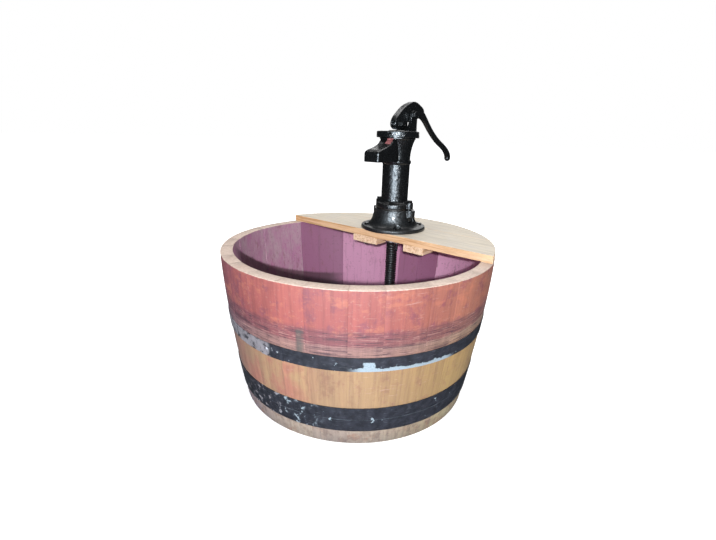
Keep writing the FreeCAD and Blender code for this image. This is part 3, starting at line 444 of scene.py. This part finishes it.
def pine_material(name, top, edge, along_x=True):
    """Softwood board: weathered face, fresh sawn edges."""
    g = Graph(name)
    stretch = (0.05, 1, 1) if along_x else (1, 0.05, 1)
    rings = g.noise(g.scaled(g.position, *stretch), 160, 5, 0.6, 0.6)
    fibres = g.noise(g.scaled(g.position, *stretch), 900, 4, 0.6)
    broad = g.noise(g.scaled(g.position, *stretch), 40, 3, 0.5)
    grey = g.noise(g.position, 18, 5, 0.6)
    face = g.mix(g.step(rings, 0.42, 0.66), top, tuple(0.80 * c for c in top))
    face = g.mix(g.math("MULTIPLY", g.step(grey, 0.45, 0.7), 0.35), face, (0.54, 0.51, 0.48))
    sawn = g.mix(g.step(rings, 0.45, 0.62), edge, (edge[0] * 0.74, edge[1] * 0.62, edge[2] * 0.48))
    sawn = g.mix(g.math("MULTIPLY", g.step(broad, 0.5, 0.7), 0.4), sawn, (0.84, 0.68, 0.50))
    geometry = g.nodes.new("ShaderNodeNewGeometry")
    up = g.split(geometry.outputs["Normal"])[2]
    is_face = g.step(up, 0.55, 0.8)
    colour = g.mix(is_face, sawn, face)
    colour = g.mix(g.math("MULTIPLY", g.step(fibres, 0.40, 0.28), 0.35), colour, (0.30, 0.20, 0.12))
    height = g.math("ADD", g.math("MULTIPLY", rings, 0.5), g.math("MULTIPLY", fibres, 0.5))
    normal = g.bump(height, 0.6 * MM, 0.5)
    return g.finish(colour, g.blend_value(fibres, 0.55, 0.8), normal)


def head_material():
    g = Graph("wine_oak_head")
    fibres = g.noise(g.scaled(g.position, 0.04, 1, 1), 600, 5, 0.6)
    blotches = g.noise(g.position, 16, 5, 0.6)
    colour = g.mix(g.step(blotches, 0.35, 0.65), (0.24, 0.12, 0.17), (0.38, 0.26, 0.28))
    colour = g.mix(g.math("MULTIPLY", g.step(fibres, 0.45, 0.30), 0.6), colour, (0.10, 0.05, 0.07))
    normal = g.bump(fibres, 0.6 * MM, 0.5)
    return g.finish(colour, g.blend_value(fibres, 0.5, 0.8), normal)


def metal_material(name, colour, roughness, tarnish, metallic=1.0):
    g = Graph(name)
    fine = g.noise(g.position, 700, 4, 0.6)
    cloud = g.noise(g.position, 120, 4, 0.6)
    mixed = g.mix(g.step(cloud, 0.45, 0.7), colour, tarnish)
    normal = g.bump(fine, 0.2 * MM, 0.35)
    low, high = roughness
    return g.finish(mixed, g.blend_value(cloud, low, high), normal, metallic)


def rubber_material():
    g = Graph("black_hose_rubber")
    dust = g.step(g.noise(g.position, 180, 5, 0.65), 0.52, 0.72)
    colour = g.mix(g.math("MULTIPLY", dust, 0.35), (0.009, 0.009, 0.010), (0.05, 0.048, 0.046))
    normal = g.bump(g.noise(g.position, 900, 3), 0.2 * MM, 0.3)
    return g.finish(colour, g.blend_value(dust, 0.32, 0.6), normal)


def leather_material():
    # near-black leather for the valve gasket, the valve's flap and the plunger's cup
    g = Graph("near_black_leather")
    grain = g.cells(g.position, 900)
    cloud = g.noise(g.position, 90, 4)
    colour = g.mix(cloud, (0.012, 0.008, 0.006), (0.035, 0.022, 0.014))
    normal = g.bump(grain, 0.3 * MM, 0.6)
    return g.finish(colour, 0.5, normal)


def floor_material():
    """A pale sheet that the camera sees brightening to plain white away from the barrel."""
    g = Graph("pale_floor")
    x, y = g.split(g.position)[:2]
    square = g.math("ADD", g.math("MULTIPLY", x, x), g.math("MULTIPLY", y, y))
    away = g.step(g.math("SQRT", square), *FLOOR_FADE)
    cloud = g.noise(g.position, 3, 3)
    colour = g.mix(cloud, (0.93, 0.93, 0.93), (0.95, 0.95, 0.95))
    g.set(g.bsdf.inputs["Emission Color"], (1.0, 1.0, 1.0))
    seen = g.nodes.new("ShaderNodeLightPath").outputs["Is Camera Ray"]
    glow = g.math("MULTIPLY", g.blend_value(away, 0.35, 1.0), seen)
    return g.finish(colour, 0.9, Emission_Strength=glow)


# ---------------------------------------------------------------- mesh helpers
def new_piece(name, mesh, body, material, node):
    """Put a mesh in the scene in place of a CAD node."""
    piece = bpy.data.objects.new(name, mesh)
    bpy.context.scene.collection.objects.link(piece)
    mesh.materials.clear()
    mesh.materials.append(material)
    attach(piece, body)
    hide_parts(node)


def shade(mesh, degrees):
    mesh.shade_smooth()
    mesh.set_sharp_from_angle(angle=math.radians(degrees))


def paint_node(name, material, bevel=None):
    """Give a CAD node its material and, if asked, softened edges."""
    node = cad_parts[name]
    node.data.materials.clear()
    node.data.materials.append(material)
    if bevel:
        weld = node.modifiers.new("weld", "WELD")
        weld.merge_threshold = WELD
        soften = node.modifiers.new("soften", "BEVEL")
        soften.width = bevel
        soften.segments = 2
        soften.limit_method = "ANGLE"
        soften.angle_limit = math.radians(40)
        soften.harden_normals = False
        smooth = node.modifiers.new("normals", "WEIGHTED_NORMAL")
        smooth.keep_sharp = True


def baked(piece):
    """The piece's mesh with its modifiers applied."""
    graph = bpy.context.evaluated_depsgraph_get()
    graph.update()
    return bpy.data.meshes.new_from_object(piece.evaluated_get(graph))


def sand_texture(name):
    texture = bpy.data.textures.new(name, "CLOUDS")
    texture.noise_scale = SAND_SIZE
    texture.noise_depth = 3
    return texture


def cast_skin(node, body, material):
    """A casting: the CAD shape with sand-cast rounding of every edge and a faintly uneven skin."""
    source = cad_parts[node]
    work = bpy.data.objects.new(node + "_work", source.data.copy())
    bpy.context.scene.collection.objects.link(work)
    weld = work.modifiers.new("weld", "WELD")
    weld.merge_threshold = WELD
    remesh = work.modifiers.new("voxels", "REMESH")
    remesh.mode = "VOXEL"
    remesh.voxel_size = CAST_VOXEL
    smooth = work.modifiers.new("round", "SMOOTH")
    smooth.factor = 0.5
    smooth.iterations = CAST_ROUNDING
    uneven = work.modifiers.new("uneven", "DISPLACE")
    uneven.texture = sand_texture(node + "_sand")
    uneven.strength = SAND_DEPTH
    uneven.mid_level = 0.5
    mesh = baked(work)
    bpy.data.objects.remove(work)
    mesh.shade_smooth()
    new_piece(node + "_casting", mesh, body, material, node)


# ---------------------------------------------------------------- barrel
def barrel_radius(z):
    taper = max(0.0, (RIM_Z - z) / RIM_Z)
    return RIM_RADIUS - (RIM_RADIUS - FOOT_RADIUS) * taper ** BULGE_POWER


def stave_levels():
    """(height, outer inset, inner depth, side inset) from foot to rim."""
    thick = STAVE_THICKNESS
    bevel_in, bevel_up = CHIME_BEVEL
    groove_low, groove_high, groove_depth = CROZE
    in_groove = thick - groove_depth
    levels = [(0.0, 1.2 * MM, thick - bevel_in, 1.0 * MM),
              (1.2 * MM, 0.0, thick - bevel_in + ARRIS, 0.0),
              (bevel_up, 0.0, thick, 0.0), (groove_low - 0.5 * MM, 0.0, thick, 0.0),
              (groove_low, 0.0, in_groove, 0.0), (groove_high, 0.0, in_groove, 0.0),
              (groove_high + 0.5 * MM, 0.0, thick, 0.0)]
    low, high, steps = 60 * MM, RIM_Z - 2.5 * MM, 30
    levels += [(low + (high - low) * i / steps, 0.0, thick, 0.0) for i in range(steps + 1)]
    levels += [(RIM_Z - 1.3 * MM, 0.0, thick, 0.0),
               (RIM_Z - 0.4 * MM, 0.5 * MM, thick - 0.5 * MM, 0.4 * MM),
               (RIM_Z, 1.3 * MM, thick - 1.3 * MM, 1.1 * MM)]
    return levels


def stave_section():
    """Points round a stave: (-1..1 across, 0 outside or 1 inside, 1 on the seams)."""
    outer = [(-0.99 + 1.98 * i / 8, 0.0, 0) for i in range(9)]
    inner = [(0.99 - 1.98 * i / 6, 1.0, 0) for i in range(7)]
    return outer + [(1.0, 0.01, 1), (1.0, 0.98, 1)] + inner + [(-1.0, 0.98, 1), (-1.0, 0.01, 1)]


def stain_and_light_paleness(angle):
    """How pale the inside is, 0 dark, 1 pale, by the stave's angle in degrees: the wine stain, and
    under the lid also painted light.
    """
    return next(level for end, level in STAIN_AND_LIGHT_RUNS if angle < end)


def build_staves(material):
    section, levels = stave_section(), stave_levels()
    count = len(section)
    total = sum(STAVE_WIDTHS)
    vertices, faces, tones, stain_and_light_levels, seams = [], [], [], [], []
    start = 0.0
    for width in STAVE_WIDTHS:
        sweep = 2 * math.pi * width / total
        tone = random.random()
        pale_by_stain_and_light = stain_and_light_paleness(math.degrees(start + sweep / 2)) + random.uniform(-0.02, 0.02)
        sink = random.uniform(0.0, 0.15) * MM
        inner_shift = random.uniform(-0.8, 0.8) * MM
        rim_drop = random.uniform(0.0, 0.5) * MM
        first = len(vertices)
        for height, outer_inset, inner_depth, side_inset in levels:
            z = height - rim_drop * (height / RIM_Z) ** 8
            radius = barrel_radius(height) - sink
            for across, inward, seam in section:
                depth = outer_inset + inward * (inner_depth - outer_inset + inner_shift)
                half = sweep / 2 - (SEAM + side_inset) / radius
                angle = start + sweep / 2 + across * half
                r = radius - depth
                vertices.append((r * math.cos(angle), r * math.sin(angle), z))
                tones.append(tone)
                stain_and_light_levels.append(pale_by_stain_and_light)
                seams.append(float(seam))
        for level in range(len(levels) - 1):
            for i in range(count):
                a = first + level * count + i
                b = first + level * count + (i + 1) % count
                faces.append((a, b, b + count, a + count))
        faces.append(tuple(first + i for i in reversed(range(count))))
        faces.append(tuple(first + (len(levels) - 1) * count + i for i in range(count)))
        start += sweep
    mesh = bpy.data.meshes.new("barrel_staves_oak")
    mesh.from_pydata(vertices, [], faces)
    for name, values in (("tone", tones), ("pale_by_stain_and_light", stain_and_light_levels), ("seam", seams)):
        mesh.attributes.new(name, "FLOAT", "POINT").data.foreach_set("value", values)
    shade(mesh, 32)
    new_piece("barrel_staves_oak", mesh, "barrel", material, "barrel_staves")


# ---------------------------------------------------------------- hose
def build_hose(material):
    low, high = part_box("suction_hose")
    top, bottom = high.z, low.z
    radius = (high.x - low.x) / 2
    around, per_pitch = 48, 8
    profile = [(bottom, HOSE_BORE), (bottom, radius - ARRIS), (bottom + ARRIS, radius)]
    z = bottom + HOSE_CUFF
    count = int((top - HOSE_CUFF - z) / HOSE_PITCH)
    pitch = (top - HOSE_CUFF - z) / count
    for i in range(count):
        for k in range(per_pitch):
            phase = k / per_pitch
            wave = 0.5 - 0.5 * math.cos(2 * math.pi * phase)
            profile.append((z + (i + phase) * pitch, radius - HOSE_WAVE * wave ** 0.7))
    profile += [(top - HOSE_CUFF, radius), (top - ARRIS, radius), (top, radius - ARRIS),
                (top, HOSE_BORE), (bottom + 1 * MM, HOSE_BORE - 0.01 * MM)]
    vertices, faces = [], []
    for height, r in profile:
        for k in range(around):
            angle = 2 * math.pi * k / around
            vertices.append((r * math.cos(angle), PUMP_Y + r * math.sin(angle), height))
    rows = len(profile)
    for i in range(rows):
        for k in range(around):
            row, next_row, turn = i * around, (i + 1) % rows * around, (k + 1) % around
            faces.append((row + k, row + turn, next_row + turn, next_row + k))
    mesh = bpy.data.meshes.new("suction_hose_corrugated")
    mesh.from_pydata(vertices, [], faces)
    shade(mesh, 50)
    new_piece("suction_hose_corrugated", mesh, "lid", material, "suction_hose")


# ---------------------------------------------------------------- finishes
def finish_pieces():
    build_staves(stave_material())
    hoops = hoop_material()
    for name in ("upper_hoop", "middle_hoop", "lower_hoop"):
        paint_node(name, hoops, 0.4 * MM)
    paint_node("hoop_rivets", hoops)
    paint_node("barrel_head_boards", head_material(), 1.0 * MM)

    lid = pine_material("weathered_pine", (0.66, 0.585, 0.475), (0.80, 0.52, 0.29))
    paint_node("lid_board_front", lid, 1.2 * MM)
    paint_node("lid_board_back", lid, 1.2 * MM)
    cleats = pine_material("cleat_pine", (0.82, 0.62, 0.42), (0.88, 0.65, 0.45), along_x=False)
    paint_node("cleat_left", cleats, 1.0 * MM)
    paint_node("cleat_right", cleats, 1.0 * MM)

    iron = black_iron_material()
    primed = black_iron_material("black_cast_paint_with_primer", red_patch=True)
    cast_skin("pump_base", "lid", black_iron_material("black_base_paint", gloss=(0.34, 0.50)))
    cast_skin("pump_body", "lid", primed)
    cast_skin("pump_cap", "cap", black_iron_material("black_cap_paint", gloss=(0.10, 0.26)))
    cast_skin("handle", "handle", iron)
    for name in ("joint_bolts", "joint_nuts", "flange_bolts", "cap_set_screws",
                 "handle_pivot_bolt", "handle_pivot_nut", "rod_pin_bolt", "rod_pin_nut"):
        paint_node(name, iron, 0.3 * MM)

    zinc = metal_material("zinc_steel", (0.55, 0.55, 0.53), (0.3, 0.45), (0.38, 0.37, 0.34))
    for name in ("cleat_screws", "flange_washers", "flange_nuts", "flap_washer", "flap_screw",
                 "flap_nut", "hose_clamp", "hose_clamp_screw"):
        paint_node(name, zinc, 0.15 * MM)
    drawn = metal_material("drawn_steel", (0.32, 0.32, 0.33), (0.25, 0.4), (0.16, 0.13, 0.11))
    paint_node("piston_rod", drawn, 0.3 * MM)
    paint_node("rod_lock_nut", drawn, 0.2 * MM)
    brass = metal_material("dull_brass", (0.62, 0.44, 0.18), (0.3, 0.5), (0.32, 0.21, 0.09))
    paint_node("plunger_valve", brass, 0.2 * MM)
    paint_node("hose_tail", brass, 0.2 * MM)
    bare = metal_material("bare_cast_iron", (0.10, 0.095, 0.09), (0.5, 0.75), (0.09, 0.05, 0.03), 0.6)
    for name in ("plunger_cage", "plunger_follower", "flap_weight"):
        paint_node(name, bare, 0.3 * MM)
    hide = leather_material()
    for name in ("valve_gasket", "valve_flap", "cup_leather"):
        paint_node(name, hide)
    build_hose(rubber_material())


# ---------------------------------------------------------------- studio
def add_floor():
    half = FLOOR_HALF
    mesh = bpy.data.meshes.new("floor")
    corners = [(-half, -half, 0), (half, -half, 0), (half, half, 0), (-half, half, 0)]
    mesh.from_pydata(corners, [], [(0, 1, 2, 3)])
    mesh.materials.append(floor_material())
    floor = bpy.data.objects.new("floor", mesh)
    bpy.context.scene.collection.objects.link(floor)
    floor.visible_glossy = False


def add_area(name, place, target, size, power, colour=(1, 1, 1), diffuse=True, gloss=1.0):
    data = bpy.data.lights.new(name, "AREA")
    data.shape = "RECTANGLE"
    data.size, data.size_y = size
    data.energy = power
    data.color = colour
    light = bpy.data.objects.new(name, data)
    light.location = place
    light.rotation_euler = (Vector(target) - Vector(place)).to_track_quat("-Z", "Y").to_euler()
    light.visible_diffuse = diffuse
    data.specular_factor = gloss
    bpy.context.scene.collection.objects.link(light)


def add_world():
    """White behind the object, soft grey light on it, and a darker room in reflections."""
    world = bpy.data.worlds.new("pale_studio")
    world.use_nodes = True
    nodes, links = world.node_tree.nodes, world.node_tree.links
    background = nodes["Background"]
    path = nodes.new("ShaderNodeLightPath")
    seen = nodes.new("ShaderNodeMix")
    seen.data_type = "RGBA"
    seen.inputs[6].default_value = WORLD_DIFFUSE
    seen.inputs[7].default_value = WORLD_SEEN
    links.new(path.outputs["Is Camera Ray"], seen.inputs[0])
    level = nodes.new("ShaderNodeMix")
    level.data_type = "RGBA"
    links.new(seen.outputs[2], level.inputs[6])
    level.inputs[7].default_value = WORLD_GLOSSY
    links.new(path.outputs["Is Glossy Ray"], level.inputs[0])
    links.new(level.outputs[2], background.inputs["Color"])
    bpy.context.scene.world = world


def add_camera():
    azimuth, elevation = math.radians(CAMERA_AZIMUTH), math.radians(CAMERA_ELEVATION)
    roll = math.radians(CAMERA_ROLL)
    forward = Vector((-math.sin(azimuth) * math.cos(elevation),
                      math.cos(azimuth) * math.cos(elevation), -math.sin(elevation)))
    right = Vector((math.cos(azimuth), math.sin(azimuth), 0))
    up = right.cross(forward)
    tilted_right = right * math.cos(roll) + up * math.sin(roll)
    tilted_up = up * math.cos(roll) - right * math.sin(roll)
    data = bpy.data.cameras.new("camera")
    data.sensor_width = CAMERA_SENSOR
    data.lens = CAMERA_LENS
    data.shift_x, data.shift_y = CAMERA_SHIFT
    camera = bpy.data.objects.new("camera", data)
    rotation = Matrix((tilted_right, tilted_up, -forward)).transposed()
    place = Matrix.Translation(CAMERA_TARGET - forward * CAMERA_DISTANCE)
    camera.matrix_world = place @ rotation.to_4x4()
    bpy.context.scene.collection.objects.link(camera)
    bpy.context.scene.camera = camera


def add_lights():
    """A small flash near the camera, soft light above and behind, and a reflection for the iron."""
    add_area("key", (1.174, -1.518, 0.951), (0, 0, 0.33), (0.04, 0.04), 41, gloss=0.0)
    add_area("top", (-0.2, 0.4, 2.6), (0, 0, 0.3), (2.0, 2.0), 41, gloss=0.15)
    add_area("back", (-1.1, 2.2, 1.3), (0, 0, 0.35), (1.4, 1.4), 9, gloss=0.8)
    add_area("strip", (1.00, -1.62, 0.78), (0, 0.157, 0.60), (1.40, 1.5), 125,
             (0.74, 0.88, 1.0), diffuse=False)


finish_pieces()
add_floor()
add_world()
add_lights()
add_camera()
bpy.context.scene.view_settings.view_transform = "Standard"
